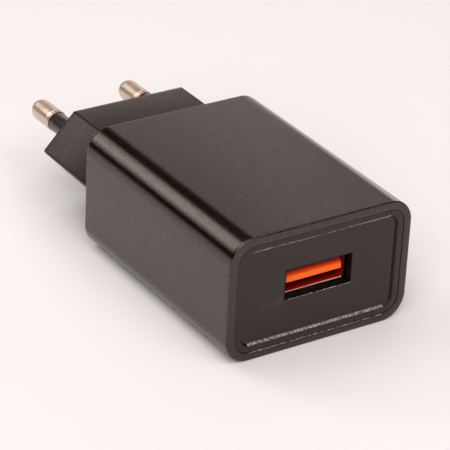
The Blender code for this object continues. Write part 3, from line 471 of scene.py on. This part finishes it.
def shadowed_plastic():
    """Darker, duller plastic, as painted shade, for the step's sides, the port's wall and the head's upper
    edges.
    """
    made = Nodes("shadowed_plastic")
    made.set(ior=1.35)
    tone = made.noise(0.4 * MM, 2.0)
    made.link(made.blend(tone, (0.001, 0.0008, 0.0008), (0.002, 0.0016, 0.0016)), "Base Color")
    made.link(made.uneven(tone, 0.42, 0.55), "Roughness")
    return made.material


def head_plastic():
    dark, light = (0.003, 0.0016, 0.0013), (0.0048, 0.0028, 0.0024)
    return black_plastic("head_plastic", dark, light, 0.33, 0.34 * MM, 0.035 * MM, 1.58)


def sleeve_plastic():
    dark, light = (0.003, 0.0024, 0.0022), (0.005, 0.0042, 0.004)
    return black_plastic("sleeve_plastic", dark, light, 0.32, 0.5 * MM, 0.003 * MM)


def plated_metal(
    name, tone, tint, roughness, drawn=(1.0, 0.05, 1.0), relief=0.0015 * MM, unevenness=0.09
):
    """Metal with fine marks drawn along one axis and a faint tarnish of another tint."""
    made = Nodes(name)
    made.set(metallic=1.0, anisotropic=0.3)
    marks = made.noise(0.12 * MM, 3.0, 0.6, made.stretched(drawn))
    tarnish = made.spread(made.noise(2.5 * MM, 3.0, 0.6), 0.42, 0.66, 0, 1)
    made.link(made.blend(tarnish, tone, tint), "Base Color")
    gloss = made.uneven(marks, roughness - unevenness / 2, roughness + unevenness)
    made.link(gloss, "Roughness")
    made.link(made.bump(marks, relief), "Normal")
    return made.material


def pin_nickel():
    return plated_metal("pin_nickel", (0.74, 0.6, 0.5), (0.64, 0.5, 0.4), 0.4)


def usb_steel():
    bright, tarnished = (1.0, 0.86, 0.72), (0.92, 0.78, 0.64)
    return plated_metal("usb_steel", bright, tarnished, 0.36, relief=0.0003 * MM, unevenness=0.03)


def shaded_steel():
    """The inside of the receptacle, painted red to black with depth: a painted reflection fading into painted
    shade.

    The red is taken to be the orange moulding mirrored in plain steel, and is painted here instead.
    """
    made = Nodes("shaded_steel")
    made.set(metallic=0.45)
    streaks = made.noise(0.3 * MM, 3.0, 0.6, made.stretched((0.05, 1.0, 1.0)))
    fade_from, fade_to = tube_low.y + TUBE_FADE[0], tube_low.y + TUBE_FADE[1]
    depth = made.spread(made.along("Y"), fade_from, fade_to, 0, 1)
    lit = made.blend(streaks, (0.6, 0.012, 0.006), (0.36, 0.006, 0.003))
    made.link(made.blend(depth, lit, (0.012, 0.001, 0.001)), "Base Color")
    made.link(made.uneven(streaks, 0.2, 0.36), "Roughness")
    made.link(made.bump(streaks, 0.002 * MM), "Normal")
    return made.material


def contact_gold():
    return plated_metal("contact_gold", (0.86, 0.66, 0.36), (0.76, 0.55, 0.27), 0.24)


def terminal_brass():
    return plated_metal("terminal_brass", (0.74, 0.56, 0.27), (0.6, 0.42, 0.2), 0.32)


def tinned_metal():
    return plated_metal("tinned_metal", (0.66, 0.65, 0.63), (0.52, 0.51, 0.5), 0.36, (1, 1, 1))


def copper_wire():
    """Enamelled wire: turns lie side by side, drawn as fine ridges round the winding."""
    ridges = (0.05, 1.0, 0.05)
    return plated_metal("copper_wire", (0.72, 0.3, 0.12), (0.55, 0.2, 0.08), 0.3, ridges, 0.02 * MM)


def usb_orange():
    """The receptacle's orange moulding, with a faint grain, and painted shade that turns it deeper red, then
    dark, towards its top.
    """
    made = Nodes("usb_orange")
    made.set(ior=1.5)
    made.shader.inputs["Specular IOR Level"].default_value = 0.03
    cloud = made.noise(1.6 * MM, 2.0)
    body = made.blend(cloud, (0.98, 0.17, 0.032), (1.0, 0.195, 0.04))
    # On the tongue the painted share is painted shade: deeper red, then dark, towards its top.
    height = made.attribute("wear_and_shade")
    reddening = made.spread(height, 0.0, 0.35, 0, 1)
    darkening = made.spread(height, 0.35, 1.0, 0, 1)
    redder = made.blend(reddening, body, (0.86, 0.06, 0.003))
    made.link(made.blend(darkening, redder, (0.3, 0.0, 0.0)), "Base Color")
    grain = made.noise(0.12 * MM, 2.0)
    made.link(made.uneven(grain, 0.3, 0.4), "Roughness")
    made.link(made.bump(grain, 0.002 * MM), "Normal")
    return made.material


def coated(name, dark, light, roughness, blotch, relief):
    """A coated or moulded inner part: two close tones, uneven gloss and slight relief."""
    made = Nodes(name)
    tone = made.noise(blotch, 4.0, 0.6)
    made.link(made.blend(tone, dark, light), "Base Color")
    made.link(made.uneven(tone, roughness - 0.08, roughness + 0.08), "Roughness")
    made.link(made.bump(made.noise(blotch / 6, 3.0), relief), "Normal")
    return made.material


def board_laminate():
    """Green solder mask over a glass weave that shows as faint squares."""
    made = Nodes("board_laminate")
    made.set(coat=0.4, coat_roughness=0.2)
    weave = made.math(
        "MULTIPLY",
        made.noise(0.5 * MM, 0.0, 0.5, made.stretched((1.0, 0.1, 1.0))),
        made.noise(0.5 * MM, 0.0, 0.5, made.stretched((0.1, 1.0, 1.0))),
    )
    threads = made.spread(weave, 0.15, 0.4, 0, 1)
    made.link(made.blend(threads, (0.01, 0.1, 0.03), (0.02, 0.17, 0.055)), "Base Color")
    made.link(made.spread(weave, 0.1, 0.4, 0.45, 0.3), "Roughness")
    made.link(made.bump(weave, 0.01 * MM), "Normal")
    return made.material


# Tones, roughness, blotch and relief of the inner parts, by slot.
INNER_FINISHES = {
    "ferrite": ((0.03, 0.03, 0.033), (0.06, 0.06, 0.065), 0.6, 0.5 * MM, 0.02 * MM),
    "bobbin_plastic": ((0.015, 0.014, 0.014), (0.03, 0.028, 0.027), 0.45, 1.5 * MM, 0.005 * MM),
    "tape_film": ((0.75, 0.5, 0.05), (0.85, 0.6, 0.08), 0.3, 2.5 * MM, 0.01 * MM),
    "can_sleeve": ((0.012, 0.02, 0.06), (0.02, 0.03, 0.085), 0.3, 3.0 * MM, 0.006 * MM),
    "disc_ceramic": ((0.03, 0.12, 0.36), (0.05, 0.18, 0.45), 0.35, 1.2 * MM, 0.02 * MM),
    "chip_plastic": ((0.012, 0.012, 0.012), (0.022, 0.022, 0.022), 0.5, 0.4 * MM, 0.01 * MM),
    "fuse_coat": ((0.2, 0.33, 0.25), (0.28, 0.42, 0.32), 0.5, 0.8 * MM, 0.02 * MM),
    "chip_ceramic": ((0.35, 0.26, 0.17), (0.45, 0.34, 0.22), 0.5, 0.3 * MM, 0.01 * MM),
    "insulation_film": ((0.66, 0.66, 0.63), (0.76, 0.76, 0.72), 0.35, 4.0 * MM, 0.004 * MM),
}
# What makes the material of every other slot, and of places given painted shade and painted reflection.
FINISH_MAKERS = {
    "usb_steel": usb_steel,
    "contact_gold": contact_gold,
    "terminal_brass": terminal_brass,
    "tinned_metal": tinned_metal,
    "copper_wire": copper_wire,
    "board_laminate": board_laminate,
    "pin_nickel": pin_nickel,
    "sleeve_plastic": sleeve_plastic,
    "usb_insulator": usb_orange,
    "shell_plastic": shell_plastic,
    "cap_plastic": cap_plastic,
    "head_plastic": head_plastic,
    "shadowed_plastic": shadowed_plastic,
    "shaded_steel": shaded_steel,
}
finishes = {}


def finish(slot):
    """The material of this name, made once."""
    if slot not in finishes:
        if slot in INNER_FINISHES:
            finishes[slot] = coated(slot, *INNER_FINISHES[slot])
        else:
            finishes[slot] = FINISH_MAKERS[slot]()
    return finishes[slot]


def finish_cad_nodes():
    """Gives every carried-over CAD node the material of its slot."""
    slots = {part["node"]: part["material_slot"] for part in frame["record"]["subparts"]}
    for node, obj in frame["nodes"].items():
        obj.data.materials.clear()
        obj.data.materials.append(finish(slots[node]))


# Shapes.


def rounded_rect(width, height, radius, steps=CORNER_STEPS):
    """An outline of (across, up) points with round corners."""
    radius = max(min(radius, width / 2, height / 2), 0.01 * MM)
    points = []
    for quarter, (side, level) in enumerate(((1, 1), (-1, 1), (-1, -1), (1, -1))):
        for step in range(steps + 1):
            angle = math.radians(90 * (quarter + step / steps))
            points.append(
                (
                    side * (width / 2 - radius) + radius * math.cos(angle),
                    level * (height / 2 - radius) + radius * math.sin(angle),
                )
            )
    return points


def casing_outline(inset):
    return rounded_rect(WIDTH - 2 * inset, HEIGHT - 2 * inset, CASING_RADIUS - inset)


def port_outline(margin):
    width, height = PORT_SIZE
    return rounded_rect(width + 2 * margin, height + 2 * margin, PORT_RADIUS + max(margin, 0))


def circle(radius, steps=ROUND_STEPS):
    turns = [2 * math.pi * step / steps for step in range(steps)]
    return [(radius * math.cos(turn), radius * math.sin(turn)) for turn in turns]


def ring(outline, y, z=0.0, x=0.0):
    return [(across + x, y, up + z) for across, up in outline]


def quarter_arc(radius, steps=ARC_STEPS):
    """(inset, advance) pairs round a convex edge, from the face that is left to the face that is met."""
    pairs = []
    for step in range(steps + 1):
        angle = math.pi / 2 * step / steps
        pairs.append((radius * (1 - math.sin(angle)), radius * (1 - math.cos(angle))))
    return pairs


def build(name, rings, slot, around=False, wear_and_shade=None, choose=None, extra=(), sharp=32):
    """Skins rings into a piece.

    around joins the last ring to the first, wear paints a share on each ring (rubbing on the casing and head,
    painted shade on the tongue), and choose picks each face's material, where 0 is the slot's own and 1 is the
    first of extra.
    """
    bm = bmesh.new()
    painted = bm.verts.layers.float.new("wear_and_shade")
    loops = []
    for index, points in enumerate(rings):
        loop = [bm.verts.new(point) for point in points]
        for vert in loop:
            vert[painted] = wear_and_shade[index] if wear_and_shade else 0.0
        loops.append(loop)
    pairs = list(zip(loops, loops[1:]))
    if around:
        pairs.append((loops[-1], loops[0]))
    for pair, (one, other) in enumerate(pairs):
        for index in range(len(one)):
            after = (index + 1) % len(one)
            face = bm.faces.new((one[index], one[after], other[after], other[index]))
            if choose:
                face.material_index = choose(pair, index, face.calc_center_median())
    if not around:
        bm.faces.new(loops[0])
        bm.faces.new(loops[-1])
    return add_piece(name, bm, slot, extra, sharp)


def add_piece(name, bm, slot, extra=(), sharp=32):
    """Turns a bmesh into a piece that rides on the charger."""
    bmesh.ops.recalc_face_normals(bm, faces=bm.faces)
    mesh = bpy.data.meshes.new(name)
    bm.to_mesh(mesh)
    bm.free()
    mesh.materials.append(finish(slot))
    for material in extra:
        mesh.materials.append(material)
    mesh.shade_smooth()
    mesh.set_sharp_from_angle(angle=math.radians(sharp))
    piece = bpy.data.objects.new(name, mesh)
    bpy.context.scene.collection.objects.link(piece)
    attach(piece, "root")
    return piece


def make_casing():
    """The outer shell, with a rounded rim at the front and a rear wall that the plug head meets."""
    rings = []
    wear_and_shade = []
    for inset, advance in reversed(quarter_arc(RIM_ROUNDING)):
        rings.append(ring(casing_outline(advance), FRONT + inset, MIDDLE))
        wear_and_shade.append(RIM_WEAR)
    rings.append(ring(casing_outline(0), FRONT + 4 * RIM_ROUNDING, MIDDLE))
    wear_and_shade.append(0.0)
    rings.append(ring(casing_outline(0), REAR - 3 * REAR_ROUNDING, MIDDLE))
    wear_and_shade.append(0.0)
    for inset, advance in quarter_arc(REAR_ROUNDING):
        rings.append(ring(casing_outline(advance), REAR - inset, MIDDLE))
        wear_and_shade.append(0.0)
    opening = rounded_rect(*SPIGOT_OPENING, SPIGOT_OPENING_RADIUS)
    rings.append(ring(opening, REAR, MIDDLE))
    rings.append(ring(opening, REAR - WALL, MIDDLE))
    rings.append(ring(casing_outline(WALL), REAR - WALL, MIDDLE))
    wear_and_shade += [0.0, 0.0, 0.0]
    for inset, advance in quarter_arc(EDGE, EDGE_STEPS):
        rings.append(ring(casing_outline(WALL - advance), FRONT + inset, MIDDLE))
        wear_and_shade.append(INNER_RIM_WEAR)
    last = len(rings) - 1

    def finish_index(pair, index, centre):
        """The rim's inner edge shows pale flecks along the bottom only: rough moulding, partly a painted
        highlight where it faces the light.
        """
        edge = last - EDGE_STEPS <= pair < last
        return 1 if edge and centre.z < MIDDLE and abs(centre.x) < FLECKED_REACH else 0

    flecked = flecked_plastic("rim_flecks", 0.47, 0.6, 0.35)
    piece = build("casing", rings, "shell_plastic", True, wear_and_shade, finish_index, (flecked,))
    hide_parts("body_shell")


def make_cap():
    """The front cap: flat band, rough step, smooth recessed face with the port, and the skirt behind."""
    outer = WALL + SEAM
    step_top = outer + CAP_BAND
    step_foot = step_top + CAP_STEP
    band = FRONT + CAP_SETBACK
    face = FRONT + CAP_RECESS
    plate_rear = face + CAP_PLATE
    boss_rear = plate_rear + PORT_BOSS_DEPTH
    skirt_inner = outer + CAP_SKIRT
    rings = []
    for inset, advance in reversed(quarter_arc(EDGE, EDGE_STEPS)):
        rings.append(ring(casing_outline(outer + advance), band + inset, MIDDLE))
    rings.append(ring(casing_outline(outer), cap_rear, MIDDLE))
    rings.append(ring(casing_outline(skirt_inner), cap_rear, MIDDLE))
    rings.append(ring(casing_outline(skirt_inner), plate_rear, MIDDLE))
    rings.append(ring(port_outline(PORT_BOSS), plate_rear, PORT_Z))
    rings.append(ring(port_outline(PORT_BOSS), boss_rear, PORT_Z))
    rings.append(ring(port_outline(0), boss_rear, PORT_Z))
    for inset, advance in reversed(quarter_arc(EDGE, EDGE_STEPS)):
        rings.append(ring(port_outline(advance), face + inset, PORT_Z))
    rings.append(ring(casing_outline(step_foot), face, MIDDLE))
    step_pair = len(rings) - 1
    port_wall = step_pair - EDGE_STEPS - 2
    port_edge = range(port_wall + 1, step_pair - 1)
    port_foot = PORT_Z - PORT_SIZE[1] / 2
    rings.append(ring(casing_outline(step_top + EDGE), band + EDGE / 2, MIDDLE))
    rings.append(ring(casing_outline(step_top), band, MIDDLE))
    rings.append(ring(casing_outline(step_top - DASHED_LINE), band, MIDDLE))

    def finish_index(pair, index, centre):
        """Pale flecks along the step's bottom and top, partly painted highlight; painted shade at the step's
        sides and on the port's wall; flecks on the port's lower edge, partly painted highlight.
        """
        plain, step_flecks, edge_flecks, shadow, dashes = range(5)
        if pair == port_wall:
            return shadow
        if pair == step_pair + 2:
            upper = centre.z > MIDDLE * 1.5
            return dashes if upper and abs(centre.x) < FLECKED_REACH else plain
        if pair in (step_pair, step_pair + 1):
            if abs(centre.x) > FLECKED_REACH or abs(centre.z - MIDDLE) < MIDDLE / 2:
                return shadow
            return step_flecks if centre.z < MIDDLE else edge_flecks
        if pair in port_edge and centre.z < port_foot + EDGE / 2 and centre.y < face + EDGE:
            return edge_flecks
        return plain

    extra = (
        flecked_plastic("step_flecks", 0.44, 0.6, 0.8),
        flecked_plastic("edge_flecks", 0.47, 0.56, 0.3),
        finish("shadowed_plastic"),
        flecked_plastic("line_flecks", 0.5, 0.6, 0.35, bare_middle=True),
    )
    piece = build("cap", rings, "cap_plastic", True, None, finish_index, extra, sharp=28)
    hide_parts("front_cap")


def rounded_polygon(points, radius, steps=5):
    """A convex outline with each corner cut to a round of about this radius."""
    outline = []
    count = len(points)
    for index, point in enumerate(points):
        corner = Vector(point)
        before = (Vector(points[index - 1]) - corner).normalized()
        after = (Vector(points[(index + 1) % count]) - corner).normalized()
        half = before.angle(after) / 2
        reach = radius / math.tan(half)
        middle = corner + (before + after).normalized() * (radius / math.sin(half))
        start = corner + before * reach - middle
        end = corner + after * reach - middle
        for step in range(steps + 1):
            spoke = start.lerp(end, step / steps).normalized() * radius
            outline.append(tuple(middle + spoke))
    return outline


def head_outline(inset):
    """The plug head's six-sided outline, moved inwards by inset."""
    height = head_high.z - head_low.z
    flat = HEAD_FLAT / 2
    half_width = HEAD_WIDTH / 2
    slant = math.atan2(height / 2, half_width - flat)
    top = height / 2 - inset
    wide = half_width - inset / math.sin(slant)
    narrow = wide - top / math.tan(slant)
    points = [(narrow, top), (-narrow, top), (-wide, 0)]
    points += [(-narrow, -top), (narrow, -top), (wide, 0)]
    return rounded_polygon(points, HEAD_CORNER, CORNER_FACETS)


def make_head():
    """The plug head, a six-sided block with fine rounded edges, standing on the casing's rear wall."""
    middle = (head_low.z + head_high.z) / 2
    front = REAR + HEAD_GAP
    rear = head_high.y
    rings = []
    wear_and_shade = []
    for inset, advance in reversed(quarter_arc(HEAD_ROOT_EDGE, 2)):
        rings.append(ring(head_outline(advance), front + inset, middle))
        wear_and_shade.append(0.0)
    rings.append(ring(head_outline(0), rear - 1.0 * MM, middle))
    wear_and_shade.append(0.0)
    for inset, advance in quarter_arc(HEAD_ROUNDING):
        rings.append(ring(head_outline(advance), rear - inset, middle))
        wear_and_shade.append(HEAD_WEAR)

    def finish_index(pair, index, centre):
        """The two upper long edges get painted shade."""
        upper = index < 2 * (CORNER_FACETS + 1)
        return 1 if upper and index % (CORNER_FACETS + 1) != CORNER_FACETS else 0

    extra = (finish("shadowed_plastic"),)
    piece = build("head", rings, "head_plastic", False, wear_and_shade, finish_index, extra)
    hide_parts("plug_head")


def pin_stations(joint, tip):
    """(radius, y) along a bare pin: its core in the sleeve, collar, groove, shank and round nose."""
    start = joint + PIN_GAP
    collar_end = start + COLLAR_LENGTH
    core = CORE_SHARE * PIN_RADIUS
    stations = [(core, joint - SLEEVE_ROOT), (core, start)]
    for inset, advance in reversed(quarter_arc(PIN_EDGE, 3)):
        stations.append((PIN_RADIUS - advance, start + inset))
    stations.append((PIN_RADIUS, collar_end - GROOVE))
    stations.append((PIN_RADIUS - GROOVE, collar_end))
    stations.append((PIN_RADIUS, collar_end + GROOVE))
    for step in range(NOSE_STEPS):
        angle = math.pi / 2 * step / NOSE_STEPS
        y = tip - NOSE_LENGTH * (1 - math.sin(angle))
        stations.append((PIN_RADIUS * math.cos(angle), y))
    stations.append((NOSE_TIP, tip))
    return stations


def sleeve_stations(root, joint):
    """(radius, y) round a sleeve's section: its outside with a rounded end, and back along its bore."""
    stations = [(SLEEVE_RADIUS + 0.05 * MM, root)]
    for inset, advance in quarter_arc(SLEEVE_EDGE, 3):
        stations.append((SLEEVE_RADIUS - advance, joint - inset))
    stations.append((BORE_SHARE * PIN_RADIUS, joint))
    stations.append((BORE_SHARE * PIN_RADIUS, root))
    return stations


def make_pins():
    """Each pin: bare metal with a round nose and a collar ring, and a thinner sleeve at its root."""
    for side in ("left", "right"):
        pin_low, pin_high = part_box(f"pin_{side}")
        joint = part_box(f"pin_sleeve_{side}")[1].y
        x = (pin_low.x + pin_high.x) / 2
        z = (pin_low.z + pin_high.z) / 2
        stations = pin_stations(joint, pin_high.y)
        rings = [ring(circle(radius), y, z, x) for radius, y in stations]
        pin = build(f"plated_pin_{side}", rings, "pin_nickel", sharp=40)
        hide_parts(f"pin_{side}")
        stations = sleeve_stations(head_high.y - SLEEVE_ROOT, joint)
        rings = [ring(circle(radius), y, z, x) for radius, y in stations]
        sleeve = build(f"moulded_sleeve_{side}", rings, "sleeve_plastic", around=True, sharp=40)
        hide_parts(f"pin_sleeve_{side}")


def make_receptacle():
    """The receptacle's metal tube with a rolled front edge, and its springs pressed inwards."""
    front, rear = tube_low.y, tube_high.y
    width, height = RECEPTACLE
    half = SHEET_METAL / 2
    grown = [SHEET_METAL]
    places = [rear]
    for step in range(ROLL_STEPS + 1):
        angle = math.pi * step / ROLL_STEPS
        grown.append(half + half * math.cos(angle))
        places.append(front + half * (1 - math.sin(angle)))
    grown.append(0.0)
    places.append(rear)
    rings = []
    for extra, y in zip(grown, places):
        radius = RECEPTACLE_RADIUS + extra
        outline = rounded_rect(width + 2 * extra, height + 2 * extra, radius, 6)
        rings.append(ring(outline, y, RECEPTACLE_Z))
    inside = len(rings) - 2

    def finish_index(pair, index, centre):
        """The inside gets a painted reflection fading into painted shade, the side walls get painted shade and
        the rest is bright.
        """
        if pair == inside:
            return 1
        return 2 if abs(centre.x) > width / 2 - SHEET_METAL else 0

    extra = (finish("shaded_steel"), finish("shadowed_plastic"))
    tube = build("receptacle_tube", rings, "usb_steel", True, None, finish_index, extra, sharp=40)
    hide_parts("usb_shell")
    make_springs(front)


def make_springs(front):
    """Two retaining springs on the tube's floor and two on its roof, each bowed into the port."""
    for level, wall in ((-1, "floor"), (1, "roof")):
        for side, place in ((-1, "left"), (1, "right")):
            left = side * SPRING_ASIDE - SPRING_WIDTH / 2
            right = side * SPRING_ASIDE + SPRING_WIDTH / 2
            rings = []
            for step in range(SPRING_STEPS + 1):
                share = step / SPRING_STEPS
                bow = math.sin(math.pi * min(share * 1.15, 1.0)) * SPRING_BOW
                y = front + SPRING_START + share * SPRING_LENGTH
                z = RECEPTACLE_Z + level * (RECEPTACLE[1] / 2 - bow - SPRING_GAP)
                back = z + level * SPRING_THICKNESS
                rings.append([(left, y, z), (right, y, z), (right, y, back), (left, y, back)])
            build(f"{wall}_spring_{place}", rings, "usb_steel", sharp=30)


def tongue_outline(inset, rear):
    """The tongue seen from above: its front corners are cut off. inset moves its front back."""
    half = TONGUE_WIDTH / 2
    front = moulding_low.y
    shoulder = front + TONGUE_CHAMFER + inset
    side = min(inset, TONGUE_CHAMFER)
    return [
        (-half + side + TONGUE_CHAMFER, front + inset),
        (half - side - TONGUE_CHAMFER, front + inset),
        (half - side, shoulder),
        (half - side, rear),
        (-half + side, rear),
        (-half + side, shoulder),
    ]


def make_tongue():
    """The orange moulding: a tongue whose upper front leans back, and the block that closes the tube."""
    rear = moulding_high.y
    block_front = rear - INSULATOR_BLOCK
    top = PORT_Z + PORT_SIZE[1] / 2 - TONGUE_DROP
    bottom = top - TONGUE_THICKNESS
    face_top = bottom + TONGUE_FACE
    levels = [(0.05 * MM, bottom), (0.0, bottom + 0.06 * MM), (0.0, face_top)]
    # Painted shade: shares that turn the tongue deeper red and darker towards its top.
    tongue_shade = [0.0, 0.0, 0.0]
    for step in range(1, TONGUE_STEPS + 1):
        share = step / TONGUE_STEPS
        levels.append((TONGUE_LEAN * share**1.8, face_top + share * (top - face_top)))
        tongue_shade.append(min(1.0, 0.06 + 1.15 * share))
    rings = []
    for inset, z in levels:
        outline = tongue_outline(inset, block_front + TONGUE_ROOT)
        rings.append([(x, y, z) for x, y in outline])
    tongue = build("orange_tongue", rings, "usb_insulator", wear_and_shade=tongue_shade, sharp=25)
    block = rounded_rect(*BLOCK_SIZE, BLOCK_RADIUS, 4)
    rings = [ring(block, block_front, RECEPTACLE_Z), ring(block, rear, RECEPTACLE_Z)]
    back = build("orange_block", rings, "usb_insulator")
    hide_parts("usb_insulator")
    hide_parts("usb_insulator")


make_camera()
make_lights()
make_floor()
finish_cad_nodes()
make_casing()
make_cap()
make_head()
make_pins()
make_receptacle()
make_tongue()
